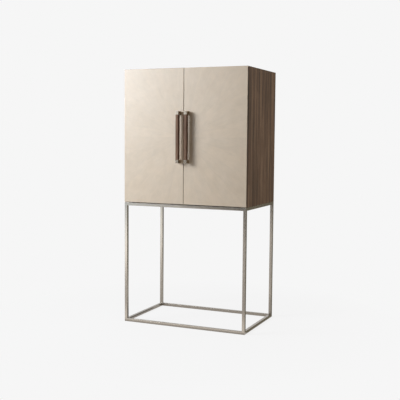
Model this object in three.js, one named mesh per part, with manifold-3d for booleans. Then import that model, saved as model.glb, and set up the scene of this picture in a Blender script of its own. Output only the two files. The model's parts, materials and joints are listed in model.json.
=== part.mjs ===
// A bar cabinet on an open metal stand: two hide-faced doors on pivot hinges, a partitioned
// walnut carcass, and a serving shelf that folds out of the right-hand bay.
// Millimetres, +Z up, front towards -Y. The origin is on the floor, under the middle of the whole object.
import * as THREE from "three";
import { mergeVertices } from "three/addons/utils/BufferGeometryUtils.js";
import Module from "manifold-3d";

const wasm = await Module();
wasm.setup();

// For all pieces
const CONTACT_GAP = 0.3; // left between two pieces that bear on each other
const OVERRUN = 5; // how far a cutting tool runs past the face that it cuts
const WELD_DISTANCE = 0.001;
const ROUND_SIDES = 24;

// Stand, of square tube
const STAND_HEIGHT = 790;
const STAND_SETBACK = 2; // behind the face of the doors
const TUBE = 19;
const TUBE_WALL = 1.5;

// Carcass boards
const CARCASS_WIDTH = 846;
const CARCASS_DEPTH = 515;
const CARCASS_HEIGHT = 860;
const BOARD = 20;
const BACK_BOARD = 8;
const FITTINGS_SETBACK = 20; // front edges of the partition and shelves, behind the carcass's own

// Bolts that hold the carcass on the stand, their heads inside the tube
const BOLT_RADIUS = 3;
const BOLT_HEAD_RADIUS = 5;
const BOLT_HEAD_HEIGHT = 4;
const BOLT_GRIP = 24;
const BOLT_CLEARANCE = 0.3;
const BOLT_ACCESS = 1.5; // round the head, at the hole in the tube's underside
const BOLT_SETBACK = 92;

// Doors
const DOOR_CORE = 19;
const DOOR_FACING = 2.7;
const DOOR_GAP = 3; // behind the doors
const DOOR_SEAM = 3; // between the doors
const DOOR_DROP = 0.5; // below the carcass's top

// Door pivots
const PIVOT_FROM_SIDE = 7;
const PIVOT_FROM_BACK = 8;
const PIVOT_PIN_RADIUS = 3;
const PIVOT_PIN_LENGTH = 13;
const PIVOT_END_PLAY = 1;
const PIVOT_RUNNING = 0.1;
const PIVOT_PLATE = 2.5;
const PIVOT_TONGUE_RADIUS = 4.5;
const PIVOT_SWING_RADIUS = 11; // relief in the door's top corner, under the tongue
const TOP_PLATE_LENGTH = 48;
const BOTTOM_PLATE_WIDTH = 34;
const BOTTOM_PLATE_FRONT = 9; // ahead of the pin's middle
const BOTTOM_PLATE_REAR = 4; // behind the pin's middle
const BUSH_WALL = 1.2;
const BUSH_FLANGE = 0.9;
const BUSH_FLANGE_WIDTH = 1.1; // past the bush's wall

// Handles: a walnut grip between two metal posts
const HANDLE_LENGTH = 325;
const HANDLE_LEVEL = 427; // middle of the handle, above the carcass's underside
const HANDLE_WIDTH = 20;
const HANDLE_DEPTH = 22;
const HANDLE_STANDOFF = 40;
const HANDLE_POST = 22;
const HANDLE_FROM_SEAM = 28.5;
const GRIP_CHAMFER = 2;
const STUD_RADIUS = 2.5;
const STUD_LENGTH = 15;
const STUD_CLEARANCE = 0.2;

// Magnetic catch under the top, and its strike plates
const CATCH_WIDTH = 60;
const CATCH_DEPTH = 18;
const CATCH_HEIGHT = 14;
const STRIKE_WIDTH = 20;
const STRIKE_HEIGHT = 12;
const STRIKE_THICKNESS = 2;
const STRIKE_FROM_MIDDLE = 18;

// Both fixed shelves have their tops at one level above the carcass's underside
const MID_SHELF_LEVEL = 362;

// Fold-out shelf and its two hinges
const LEAF_LENGTH = 250;
const LEAF_THICKNESS = 18;
const LEAF_SIDE_GAP = 32;
const LEAF_PLAY = 1; // between the folded leaf and the counter
const LEAF_BUTT_GAP = 0.4; // between the counter's edge and the leaf's, once it is folded out
const HINGE_LENGTH = 50;
const HINGE_PLATE = 1.5;
const HINGE_REACH = 25;
const HINGE_BARREL_RADIUS = 2.5;
const HINGE_PIN_RADIUS = 1.2;
const HINGE_RUNNING = 0.1;
const HINGE_FROM_END = 60;
const HINGE_KNUCKLE = 20; // the moving leaf's, in the middle of the barrel

// Glass shelf in the left-hand bay, on four spade pins
const GLASS_LEVEL = 600;
const GLASS_THICKNESS = 8;
const GLASS_FRONT_GAP = 45;
const GLASS_BACK_GAP = 80;
const GLASS_SIDE_GAP = 1;
const PIN_RADIUS = 2.5;
const PIN_HOLE_DEPTH = 10;
const PIN_CLEARANCE = 0.2;
const SPADE_LENGTH = 10;
const SPADE_WIDTH = 9;
const SPADE_THICKNESS = 2;
const PIN_FROM_GLASS_END = 50;

// Stemware rack: T-shaped hangers under one plate
const RACK_HANGERS = 4;
const RACK_SIDE_GAP = 30;
const RACK_FRONT_GAP = 60;
const RACK_BACK_GAP = 120;
const RACK_PLATE = 4;
const RACK_WEB = 4;
const RACK_DROP = 22;
const RACK_FLANGE = 3;
const RACK_FLANGE_WIDTH = 62;

// Crossed bottle dividers under the counter
const DIVIDER_THICKNESS = 12;
const DIVIDER_FRONT_GAP = 35;
const DIVIDER_BACK_GAP = 70;
const DIVIDER_CLEARANCE = 0.3;

// Sizes that follow
const coverGap = DOOR_GAP + DOOR_CORE + CONTACT_GAP + DOOR_FACING;
const totalDepth = CARCASS_DEPTH + coverGap + HANDLE_STANDOFF;
const halfWidth = CARCASS_WIDTH / 2;
const innerX = halfWidth - BOARD;
const innerBack = CARCASS_DEPTH - BACK_BOARD - CONTACT_GAP;
const innerFloor = BOARD + CONTACT_GAP;
const innerTop = CARCASS_HEIGHT - BOARD - CONTACT_GAP;
const bayLow = BOARD / 2 + CONTACT_GAP; // side of a bay at the partition
const bayHigh = innerX - CONTACT_GAP; // side of a bay at the carcass's side
const pivotX = halfWidth - PIVOT_FROM_SIDE;
const pivotY = -DOOR_GAP - PIVOT_FROM_BACK;
const doorWidth = halfWidth - DOOR_SEAM / 2;
const doorBottom = PIVOT_PLATE + BUSH_FLANGE + 2 * CONTACT_GAP;
const doorTop = CARCASS_HEIGHT - DOOR_DROP;
const bushLength = PIVOT_PIN_LENGTH + PIVOT_END_PLAY;
const bushRadius = PIVOT_PIN_RADIUS + PIVOT_RUNNING + BUSH_WALL;
const pinLevel = GLASS_LEVEL - CONTACT_GAP - SPADE_THICKNESS;
const pinFront = GLASS_FRONT_GAP + PIN_FROM_GLASS_END;
const pinBack = innerBack - GLASS_BACK_GAP - PIN_FROM_GLASS_END;

// Finishes
const nickel = new THREE.MeshStandardMaterial({ color: 0xb3ada2, roughness: 0.34, metalness: 1 });
const walnut = new THREE.MeshStandardMaterial({ color: 0x574639, roughness: 0.55 });
const gripWalnut = new THREE.MeshStandardMaterial({ color: 0x7a5f50, roughness: 0.5 });
const hide = new THREE.MeshStandardMaterial({ color: 0xcdbfae, roughness: 0.6 });
const brass = new THREE.MeshStandardMaterial({ color: 0xb08d57, roughness: 0.35, metalness: 1 });
const darkSteel = new THREE.MeshStandardMaterial({ color: 0x3a3836, roughness: 0.5, metalness: 0.8 });
const clearGlass = new THREE.MeshStandardMaterial({
  color: 0xdde8e4,
  roughness: 0.05,
  transparent: true,
  opacity: 0.35,
});

// Axis swaps that turn a cylinder, or a shape drawn in XY, without rounding its numbers
const X = new THREE.Vector3(1, 0, 0);
const Y = new THREE.Vector3(0, 1, 0);
const Z = new THREE.Vector3(0, 0, 1);
const upright = new THREE.Matrix4().makeBasis(X, Z, Y.clone().negate());
const acrossX = new THREE.Matrix4().makeBasis(Y.clone().negate(), X, Z);

// Booleans
function solidOf(geometry) {
  const bare = geometry.clone();
  bare.deleteAttribute("normal");
  bare.deleteAttribute("uv");
  const merged = mergeVertices(bare, WELD_DISTANCE);
  return new wasm.Manifold(
    new wasm.Mesh({
      numProp: 3,
      vertProperties: merged.attributes.position.array,
      triVerts: new Uint32Array(merged.index.array),
    }),
  );
}

function geometryOf(solid) {
  const mesh = solid.getMesh();
  const geometry = new THREE.BufferGeometry();
  geometry.setAttribute("position", new THREE.BufferAttribute(mesh.vertProperties, 3));
  geometry.setIndex(new THREE.BufferAttribute(mesh.triVerts, 1));
  const flat = geometry.toNonIndexed();
  flat.computeVertexNormals();
  return flat;
}

function cut(geometry, ...tools) {
  return geometryOf(tools.reduce((solid, tool) => solid.subtract(solidOf(tool)), solidOf(geometry)));
}

function join(geometry, ...others) {
  return geometryOf(others.reduce((solid, other) => solid.add(solidOf(other)), solidOf(geometry)));
}

// Plain shapes, each given by where it lies
function box(low, high) {
  const size = high.map((value, axis) => value - low[axis]);
  const middle = high.map((value, axis) => (value + low[axis]) / 2);
  return new THREE.BoxGeometry(...size).translate(...middle);
}

function rodUp(radius, from, to, x, y) {
  return new THREE.CylinderGeometry(radius, radius, to - from, ROUND_SIDES)
    .applyMatrix4(upright)
    .translate(x, y, (from + to) / 2);
}

function rodAlongX(radius, from, to, y, z) {
  return new THREE.CylinderGeometry(radius, radius, to - from, ROUND_SIDES)
    .applyMatrix4(acrossX)
    .translate((from + to) / 2, y, z);
}

function rodAlongY(radius, from, to, x, z) {
  return new THREE.CylinderGeometry(radius, radius, to - from, ROUND_SIDES).translate(x, (from + to) / 2, z);
}

// A prism over points in XY, or over points in XZ
function prismUp(points, from, to) {
  const shape = new THREE.Shape(points.map(([x, y]) => new THREE.Vector2(x, y)));
  return new THREE.ExtrudeGeometry(shape, { depth: to - from, bevelEnabled: false }).translate(0, 0, from);
}

function prismAlongY(points, from, to) {
  const shape = new THREE.Shape(points.map(([x, z]) => new THREE.Vector2(x, z)));
  return new THREE.ExtrudeGeometry(shape, { depth: to - from, bevelEnabled: false })
    .applyMatrix4(upright)
    .translate(0, to, 0);
}

function add(group, name, geometry, material, x = 0, y = 0, z = 0) {
  const mesh = new THREE.Mesh(geometry, material);
  mesh.name = name;
  mesh.position.set(x, y, z);
  group.add(mesh);
}

function addGroup(parent, x, y, z) {
  const group = new THREE.Group();
  group.position.set(x, y, z);
  parent.add(group);
  return group;
}

// Both sides and both ends, with the sign of each along its axis
const SIDES = [
  ["left", -1],
  ["right", 1],
];
const ENDS = [
  ["front", -1],
  ["back", 1],
];

// Two places on one side of zero, in rising order
function span(sign, near, far) {
  return [Math.min(sign * near, sign * far), Math.max(sign * near, sign * far)];
}

// Stand, in a group whose origin is under the middle of the stand
const standDepth = CARCASS_DEPTH + coverGap - STAND_SETBACK;
const standY = (totalDepth - standDepth) / 2;
const standHalf = standDepth / 2;
const tubeMiddle = halfWidth - TUBE / 2;
const boltY = standHalf - BOLT_SETBACK;

function crossRail(end) {
  const inside = halfWidth - TUBE;
  const outer = [
    [-halfWidth, end * standHalf],
    [halfWidth, end * standHalf],
    [inside, end * (standHalf - TUBE)],
    [-inside, end * (standHalf - TUBE)],
  ];
  const [low, high] = span(end, standHalf - TUBE + TUBE_WALL, standHalf - TUBE_WALL);
  const farEnd = halfWidth + OVERRUN;
  return cut(prismUp(outer, 0, TUBE), box([-farEnd, low, TUBE_WALL], [farEnd, high, TUBE - TUBE_WALL]));
}

function sideRail(side, bolted) {
  const inside = halfWidth - TUBE;
  const end = standHalf - CONTACT_GAP;
  const outer = [
    [side * halfWidth, -end],
    [side * halfWidth, end],
    [side * inside, end - TUBE],
    [side * inside, TUBE - end],
  ];
  const [low, high] = span(side, inside + TUBE_WALL, halfWidth - TUBE_WALL);
  const farEnd = standHalf + OVERRUN;
  const tools = [box([low, -farEnd, TUBE_WALL], [high, farEnd, TUBE - TUBE_WALL])];
  if (bolted) {
    for (const y of [-boltY, boltY]) {
      tools.push(rodUp(BOLT_RADIUS + BOLT_CLEARANCE, TUBE / 2, TUBE + OVERRUN, side * tubeMiddle, y));
      tools.push(rodUp(BOLT_HEAD_RADIUS + BOLT_ACCESS, -OVERRUN, TUBE / 2, side * tubeMiddle, y));
    }
  }
  return cut(prismUp(outer, 0, TUBE), ...tools);
}

function buildStand(stand) {
  const rings = [
    ["base", 0, false],
    ["top", STAND_HEIGHT - TUBE, true],
  ];
  for (const [ring, level, bolted] of rings) {
    for (const [end, sign] of ENDS) add(stand, `${ring}_rail_${end}`, crossRail(sign), nickel, 0, 0, level);
    for (const [side, sign] of SIDES) {
      add(stand, `${ring}_rail_${side}`, sideRail(sign, bolted), nickel, 0, 0, level);
    }
  }

  const legLow = TUBE + CONTACT_GAP;
  const legHigh = STAND_HEIGHT - TUBE - CONTACT_GAP;
  const half = TUBE / 2;
  const bore = half - TUBE_WALL;
  const headTop = STAND_HEIGHT - TUBE_WALL - CONTACT_GAP;
  const headBottom = headTop - BOLT_HEAD_HEIGHT;
  for (const [side, sideSign] of SIDES) {
    for (const [end, endSign] of ENDS) {
      const leg = cut(
        box([-half, -half, legLow], [half, half, legHigh]),
        box([-bore, -bore, legLow - OVERRUN], [bore, bore, legHigh + OVERRUN]),
      );
      add(stand, `leg_${end}_${side}`, leg, nickel, sideSign * tubeMiddle, endSign * (standHalf - half));

      // The bolt's head bears on the inside of the tube's upper wall
      const bolt = join(
        rodUp(BOLT_HEAD_RADIUS, headBottom, headTop, 0, 0),
        rodUp(BOLT_RADIUS, headBottom + BOLT_HEAD_HEIGHT / 2, headTop + BOLT_GRIP, 0, 0),
      );
      add(stand, `carcass_bolt_${end}_${side}`, bolt, darkSteel, sideSign * tubeMiddle, endSign * boltY);
    }
  }
}

// Carcass, in a group whose origin is at its underside, in the plane of its front edges
const carcassY = totalDepth / 2 - CARCASS_DEPTH;

function pinHoles(face, into) {
  const [low, high] = [face - OVERRUN * into, face + PIN_HOLE_DEPTH * into].sort((a, b) => a - b);
  return [pinFront, pinBack].map((y) => rodAlongX(PIN_RADIUS + PIN_CLEARANCE, low, high, y, pinLevel));
}

function sidePanel(side) {
  const boltHoles = [-boltY, boltY].map((y) => {
    const holeTop = BOLT_GRIP + CONTACT_GAP;
    return rodUp(BOLT_RADIUS + BOLT_CLEARANCE, -OVERRUN, holeTop, side * tubeMiddle, standY - carcassY + y);
  });
  const halfRecess = PIVOT_TONGUE_RADIUS + CONTACT_GAP;
  const [recessLow, recessHigh] = span(side, pivotX - halfRecess, pivotX + halfRecess);
  const recessFloor = CARCASS_HEIGHT - PIVOT_PLATE - CONTACT_GAP;
  const recessBack = pivotY + TOP_PLATE_LENGTH + CONTACT_GAP;
  const recess = box([recessLow, -OVERRUN, recessFloor], [recessHigh, recessBack, CARCASS_HEIGHT + OVERRUN]);
  const shelfHoles = side < 0 ? pinHoles(-innerX, -1) : [];
  const [near, far] = span(side, innerX, halfWidth);
  return cut(box([near, 0, 0], [far, CARCASS_DEPTH, CARCASS_HEIGHT]), recess, ...boltHoles, ...shelfHoles);
}

function buildBoards(carcass) {
  for (const [side, sign] of SIDES) add(carcass, `side_panel_${side}`, sidePanel(sign), walnut);
  add(carcass, "bottom_panel", box([-bayHigh, 0, 0], [bayHigh, CARCASS_DEPTH, BOARD]), walnut);
  const topLow = [-bayHigh, 0, CARCASS_HEIGHT - BOARD];
  add(carcass, "top_panel", box(topLow, [bayHigh, CARCASS_DEPTH, CARCASS_HEIGHT]), walnut);
  const backLow = [-bayHigh, CARCASS_DEPTH - BACK_BOARD, innerFloor];
  add(carcass, "back_panel", box(backLow, [bayHigh, CARCASS_DEPTH, innerTop]), walnut);
  const partition = box([-BOARD / 2, FITTINGS_SETBACK, innerFloor], [BOARD / 2, innerBack, innerTop]);
  add(carcass, "partition", cut(partition, ...pinHoles(-BOARD / 2, 1)), walnut);
}

function buildLeftBay(carcass) {
  const shelfLow = [-bayHigh, FITTINGS_SETBACK, MID_SHELF_LEVEL - BOARD];
  add(carcass, "bottle_shelf", box(shelfLow, [-bayLow, innerBack, MID_SHELF_LEVEL]), walnut);

  const glassLow = [-innerX + GLASS_SIDE_GAP, GLASS_FRONT_GAP, GLASS_LEVEL];
  const glassHigh = [-BOARD / 2 - GLASS_SIDE_GAP, innerBack - GLASS_BACK_GAP, GLASS_LEVEL + GLASS_THICKNESS];
  add(carcass, "glass_shelf", box(glassLow, glassHigh), clearGlass);

  const walls = [
    ["outer", -innerX, 1],
    ["inner", -BOARD / 2, -1],
  ];
  for (const [wall, face, out] of walls) {
    const tip = face + SPADE_LENGTH * out;
    const [stemLow, stemHigh] = [face - (PIN_HOLE_DEPTH - CONTACT_GAP) * out, tip].sort((a, b) => a - b);
    const [spadeLow, spadeHigh] = [face + CONTACT_GAP * out, tip].sort((a, b) => a - b);
    for (const [end, y] of [["front", pinFront], ["back", pinBack]]) {
      const spade = box(
        [spadeLow, y - SPADE_WIDTH / 2, pinLevel],
        [spadeHigh, y + SPADE_WIDTH / 2, pinLevel + SPADE_THICKNESS],
      );
      const flat = box(
        [spadeLow - OVERRUN, y - SPADE_WIDTH, pinLevel + SPADE_THICKNESS],
        [spadeHigh + OVERRUN, y + SPADE_WIDTH, GLASS_LEVEL + OVERRUN],
      );
      const stem = cut(rodAlongX(PIN_RADIUS, stemLow, stemHigh, y, pinLevel), flat);
      add(carcass, `shelf_pin_${wall}_${end}`, join(stem, spade), nickel);
    }
  }
}

// Crossed dividers, halved into each other, that fill the right-hand bay under the counter
function buildDividers(carcass) {
  const low = innerFloor;
  const high = MID_SHELF_LEVEL - BOARD - CONTACT_GAP;
  const width = bayHigh - bayLow;
  const run = Math.hypot(width, high - low);
  const footX = ((DIVIDER_THICKNESS / 2) * run) / (high - low);
  const footZ = ((DIVIDER_THICKNESS / 2) * run) / width;
  const rising = [
    [bayLow, low],
    [bayLow + footX, low],
    [bayHigh, high - footZ],
    [bayHigh, high],
    [bayHigh - footX, high],
    [bayLow, low + footZ],
  ];
  const falling = rising.map(([x, z]) => [x, low + high - z]).reverse();
  const front = DIVIDER_FRONT_GAP;
  const back = innerBack - DIVIDER_BACK_GAP;
  const middle = (front + back) / 2;

  // The other board, thicker by a clearance all round, is the tool for a board's notch
  const drop = ((DIVIDER_THICKNESS / 2 + DIVIDER_CLEARANCE) * run) / width;
  const fallingTool = [
    [bayLow, high - drop],
    [bayHigh, low - drop],
    [bayHigh, low + drop],
    [bayLow, high + drop],
  ];
  const risingTool = fallingTool.map(([x, z]) => [x, low + high - z]).reverse();
  const backNotch = prismAlongY(fallingTool, middle - CONTACT_GAP / 2, back + OVERRUN);
  const frontNotch = prismAlongY(risingTool, front - OVERRUN, middle + CONTACT_GAP / 2);
  add(carcass, "bottle_divider_rising", cut(prismAlongY(rising, front, back), backNotch), walnut);
  add(carcass, "bottle_divider_falling", cut(prismAlongY(falling, front, back), frontNotch), walnut);
}

function buildStemwareRack(carcass) {
  const plateBottom = innerTop - RACK_PLATE;
  const flangeBottom = plateBottom - RACK_DROP;
  const flangeTop = flangeBottom + RACK_FLANGE;
  const edgeLow = bayLow + RACK_SIDE_GAP;
  const edgeHigh = bayHigh - RACK_SIDE_GAP;
  const halfFlange = RACK_FLANGE_WIDTH / 2;
  const halfWeb = RACK_WEB / 2;
  const pitch = (edgeHigh - edgeLow - RACK_FLANGE_WIDTH) / (RACK_HANGERS - 1);
  const points = [
    [edgeHigh, plateBottom],
    [edgeHigh, innerTop],
    [edgeLow, innerTop],
    [edgeLow, plateBottom],
  ];
  for (let i = 0; i < RACK_HANGERS; i += 1) {
    const x = edgeLow + halfFlange + i * pitch;
    points.push([x - halfWeb, plateBottom], [x - halfWeb, flangeTop], [x - halfFlange, flangeTop]);
    points.push([x - halfFlange, flangeBottom], [x + halfFlange, flangeBottom]);
    points.push([x + halfFlange, flangeTop], [x + halfWeb, flangeTop], [x + halfWeb, plateBottom]);
  }
  const rack = prismAlongY(points, RACK_FRONT_GAP, innerBack - RACK_BACK_GAP);
  add(carcass, "stemware_rack", rack, nickel);
}

// Counter and the leaf that folds out over its front edge
const leafAxisY = FITTINGS_SETBACK;
const leafAxisZ = MID_SHELF_LEVEL + LEAF_PLAY / 2;
const leafBottom = MID_SHELF_LEVEL + LEAF_PLAY;
const leafReliefRadius = HINGE_BARREL_RADIUS + CONTACT_GAP;

function leafRod(radius, from, to) {
  return rodAlongX(radius, from, to, leafAxisY, leafAxisZ);
}

function buildLeafHinge(carcass, side, middle) {
  const from = middle - HINGE_LENGTH / 2;
  const to = middle + HINGE_LENGTH / 2;
  const knuckleLow = middle - HINGE_KNUCKLE / 2;
  const knuckleHigh = middle + HINGE_KNUCKLE / 2;
  const reachY = leafAxisY + HINGE_REACH;
  const bore = leafRod(HINGE_PIN_RADIUS + HINGE_RUNNING, from - OVERRUN, to + OVERRUN);

  const fixedPlate = cut(
    box([from, leafAxisY, MID_SHELF_LEVEL - HINGE_PLATE], [to, reachY, MID_SHELF_LEVEL]),
    leafRod(leafReliefRadius, knuckleLow - CONTACT_GAP, knuckleHigh + CONTACT_GAP),
  );
  const fixedLeaf = join(
    fixedPlate,
    leafRod(HINGE_BARREL_RADIUS, from, knuckleLow - CONTACT_GAP),
    leafRod(HINGE_BARREL_RADIUS, knuckleHigh + CONTACT_GAP, to),
  );
  add(carcass, `shelf_hinge_fixed_${side}`, cut(fixedLeaf, bore), brass);

  const movingPlate = cut(
    box([from, leafAxisY, leafBottom], [to, reachY, leafBottom + HINGE_PLATE]),
    leafRod(leafReliefRadius, from - OVERRUN, knuckleLow),
    leafRod(leafReliefRadius, knuckleHigh, to + OVERRUN),
  );
  const movingLeaf = join(movingPlate, leafRod(HINGE_BARREL_RADIUS, knuckleLow, knuckleHigh));
  add(carcass, `shelf_hinge_moving_${side}`, cut(movingLeaf, bore), brass);
  add(carcass, `shelf_hinge_pin_${side}`, leafRod(HINGE_PIN_RADIUS, from, to), brass);

  // What the hinge is let into: a pocket in the counter's top and one in the leaf's underside
  const barrelRelief = leafRod(leafReliefRadius, from - CONTACT_GAP, to + CONTACT_GAP);
  const pocketBack = reachY + CONTACT_GAP;
  const counterPocket = box(
    [from - CONTACT_GAP, leafAxisY - OVERRUN, MID_SHELF_LEVEL - HINGE_PLATE - CONTACT_GAP],
    [to + CONTACT_GAP, pocketBack, MID_SHELF_LEVEL + OVERRUN],
  );
  const leafPocket = box(
    [from - CONTACT_GAP, leafAxisY - OVERRUN, leafBottom - OVERRUN],
    [to + CONTACT_GAP, pocketBack, leafBottom + HINGE_PLATE + CONTACT_GAP],
  );
  return { counterTools: [barrelRelief, counterPocket], leafTools: [barrelRelief, leafPocket] };
}

function buildFoldOutShelf(carcass) {
  const edgeY = leafAxisY + LEAF_BUTT_GAP / 2;
  const leafLow = BOARD / 2 + LEAF_SIDE_GAP;
  const leafHigh = innerX - LEAF_SIDE_GAP;
  const hinges = [
    buildLeafHinge(carcass, "left", leafLow + HINGE_FROM_END),
    buildLeafHinge(carcass, "right", leafHigh - HINGE_FROM_END),
  ];
  const counterTools = hinges.flatMap((hinge) => hinge.counterTools);
  const counter = box([bayLow, edgeY, MID_SHELF_LEVEL - BOARD], [bayHigh, innerBack, MID_SHELF_LEVEL]);
  add(carcass, "counter_shelf", cut(counter, ...counterTools), walnut);
  const leafTools = hinges.flatMap((hinge) => hinge.leafTools);
  const leafTop = leafBottom + LEAF_THICKNESS;
  const leaf = box([leafLow, edgeY, leafBottom], [leafHigh, leafAxisY + LEAF_LENGTH, leafTop]);
  add(carcass, "fold_out_shelf", cut(leaf, ...leafTools), walnut);
}

// Pivot plates, drawn about the pivot axis: the upper one is let into the side panel's top end
function topPivotPlate() {
  const bottom = CARCASS_HEIGHT - PIVOT_PLATE;
  return join(
    box([-PIVOT_TONGUE_RADIUS, 0, bottom], [PIVOT_TONGUE_RADIUS, TOP_PLATE_LENGTH, CARCASS_HEIGHT]),
    rodUp(PIVOT_TONGUE_RADIUS, bottom, CARCASS_HEIGHT, 0, 0),
    rodUp(PIVOT_PIN_RADIUS, bottom - PIVOT_PIN_LENGTH, bottom + PIVOT_PLATE / 2, 0, 0),
  );
}

// The lower one stands on the stand's front rail
function bottomPivotPlate(side) {
  const reach = PIVOT_FROM_SIDE - CONTACT_GAP;
  const [low, high] = span(side, reach - BOTTOM_PLATE_WIDTH, reach);
  return join(
    box([low, -BOTTOM_PLATE_FRONT, 0], [high, BOTTOM_PLATE_REAR, PIVOT_PLATE]),
    rodUp(PIVOT_PIN_RADIUS, PIVOT_PLATE / 2, PIVOT_PLATE + PIVOT_PIN_LENGTH, 0, 0),
  );
}

// Flanged bush, its flange downwards
function pivotBush() {
  const inner = PIVOT_PIN_RADIUS + PIVOT_RUNNING;
  const rim = bushRadius + BUSH_FLANGE_WIDTH;
  const profile = [
    [inner, 0],
    [rim, 0],
    [rim, BUSH_FLANGE],
    [bushRadius, BUSH_FLANGE],
    [bushRadius, bushLength],
    [inner, bushLength],
    [inner, 0],
  ];
  const points = profile.map(([radius, level]) => new THREE.Vector2(radius, level));
  return new THREE.LatheGeometry(points, ROUND_SIDES).applyMatrix4(upright);
}

// A door, in a group whose origin is on its pivot axis at the level of the carcass's underside
const doorBack = PIVOT_FROM_BACK;
const coreFront = doorBack - DOOR_CORE;
const facingBack = coreFront - CONTACT_GAP;
const facingFront = facingBack - DOOR_FACING;

function buildDoor(carcass, name, side) {
  const door = addGroup(carcass, side * pivotX, pivotY, 0);
  const [low, high] = span(side, PIVOT_FROM_SIDE - doorWidth, PIVOT_FROM_SIDE);
  const bottomFlange = PIVOT_PLATE + CONTACT_GAP;
  const topFlange = CARCASS_HEIGHT - PIVOT_PLATE - CONTACT_GAP;
  const boreRadius = bushRadius + PIVOT_RUNNING;
  const boreDepth = bushLength + CONTACT_GAP;
  const reliefFloor = topFlange - BUSH_FLANGE - CONTACT_GAP;

  const handleX = -side * (pivotX - HANDLE_FROM_SEAM);
  const studHoles = [-1, 1].map((end) => {
    const level = HANDLE_LEVEL + (end * (HANDLE_LENGTH - HANDLE_POST)) / 2;
    const tip = facingFront + STUD_LENGTH + CONTACT_GAP;
    return rodAlongY(STUD_RADIUS + STUD_CLEARANCE, facingFront - OVERRUN, tip, handleX, level);
  });
  const core = cut(
    box([low, coreFront, doorBottom], [high, doorBack, doorTop]),
    rodUp(boreRadius, doorBottom - OVERRUN, bottomFlange + boreDepth, 0, 0),
    rodUp(boreRadius, topFlange - boreDepth, doorTop + OVERRUN, 0, 0),
    rodUp(PIVOT_SWING_RADIUS, reliefFloor, doorTop + OVERRUN, 0, 0),
    ...studHoles,
  );
  const facing = cut(box([low, facingFront, doorBottom], [high, facingBack, doorTop]), ...studHoles);
  add(door, `door_${name}`, core, walnut);
  add(door, `door_facing_${name}`, facing, hide);
  add(door, `pivot_bush_bottom_${name}`, pivotBush(), brass, 0, 0, bottomFlange);
  add(door, `pivot_bush_top_${name}`, pivotBush().rotateX(Math.PI), brass, 0, 0, topFlange);
  buildHandle(addGroup(door, handleX, facingFront, HANDLE_LEVEL), name);

  const strikeX = -side * (pivotX - STRIKE_FROM_MIDDLE);
  const strikeBack = doorBack + CONTACT_GAP;
  const strikeBottom = innerTop - CATCH_HEIGHT;
  const strike = box(
    [strikeX - STRIKE_WIDTH / 2, strikeBack, strikeBottom],
    [strikeX + STRIKE_WIDTH / 2, strikeBack + STRIKE_THICKNESS, strikeBottom + STRIKE_HEIGHT],
  );
  add(door, `strike_plate_${name}`, strike, darkSteel);
}

// A handle, in a group whose origin is on the door's face behind the handle's middle
function buildHandle(handle, name) {
  const half = HANDLE_WIDTH / 2;
  const end = HANDLE_LENGTH / 2;
  const postEnd = end - HANDLE_POST;
  const front = -HANDLE_STANDOFF;
  const back = front + HANDLE_DEPTH;
  const section = [
    [-half, back],
    [-half, front + GRIP_CHAMFER],
    [-half + GRIP_CHAMFER, front],
    [half - GRIP_CHAMFER, front],
    [half, front + GRIP_CHAMFER],
    [half, back],
  ];
  const grip = prismUp(section, CONTACT_GAP - postEnd, postEnd - CONTACT_GAP);
  add(handle, `handle_grip_${name}`, grip, gripWalnut);
  for (const [place, sign] of [["lower", -1], ["upper", 1]]) {
    const [low, high] = span(sign, postEnd, end);
    const post = join(
      box([-half, front, low], [half, -CONTACT_GAP, high]),
      rodAlongY(STUD_RADIUS, -CONTACT_GAP - STUD_RADIUS, STUD_LENGTH, 0, (low + high) / 2),
    );
    add(handle, `handle_post_${place}_${name}`, post, nickel);
  }
}

function buildCatch(carcass) {
  const front = 2 * CONTACT_GAP + STRIKE_THICKNESS - DOOR_GAP;
  const low = [-CATCH_WIDTH / 2, front, innerTop - CATCH_HEIGHT];
  add(carcass, "magnetic_catch", box(low, [CATCH_WIDTH / 2, front + CATCH_DEPTH, innerTop]), darkSteel);
}

const cabinet = new THREE.Group();
buildStand(addGroup(cabinet, 0, standY, 0));
const carcass = addGroup(cabinet, 0, carcassY, STAND_HEIGHT + CONTACT_GAP);
buildBoards(carcass);
buildLeftBay(carcass);
buildDividers(carcass);
buildStemwareRack(carcass);
buildFoldOutShelf(carcass);
buildCatch(carcass);
for (const [name, side] of SIDES) {
  add(carcass, `pivot_plate_top_${name}`, topPivotPlate(), nickel, side * pivotX, pivotY);
  add(carcass, `pivot_plate_bottom_${name}`, bottomPivotPlate(side), nickel, side * pivotX, pivotY);
  buildDoor(carcass, name, side);
}

export default cabinet;
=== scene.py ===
import json
import math

import bmesh
import bpy
from mathutils import Matrix, Vector

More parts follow.
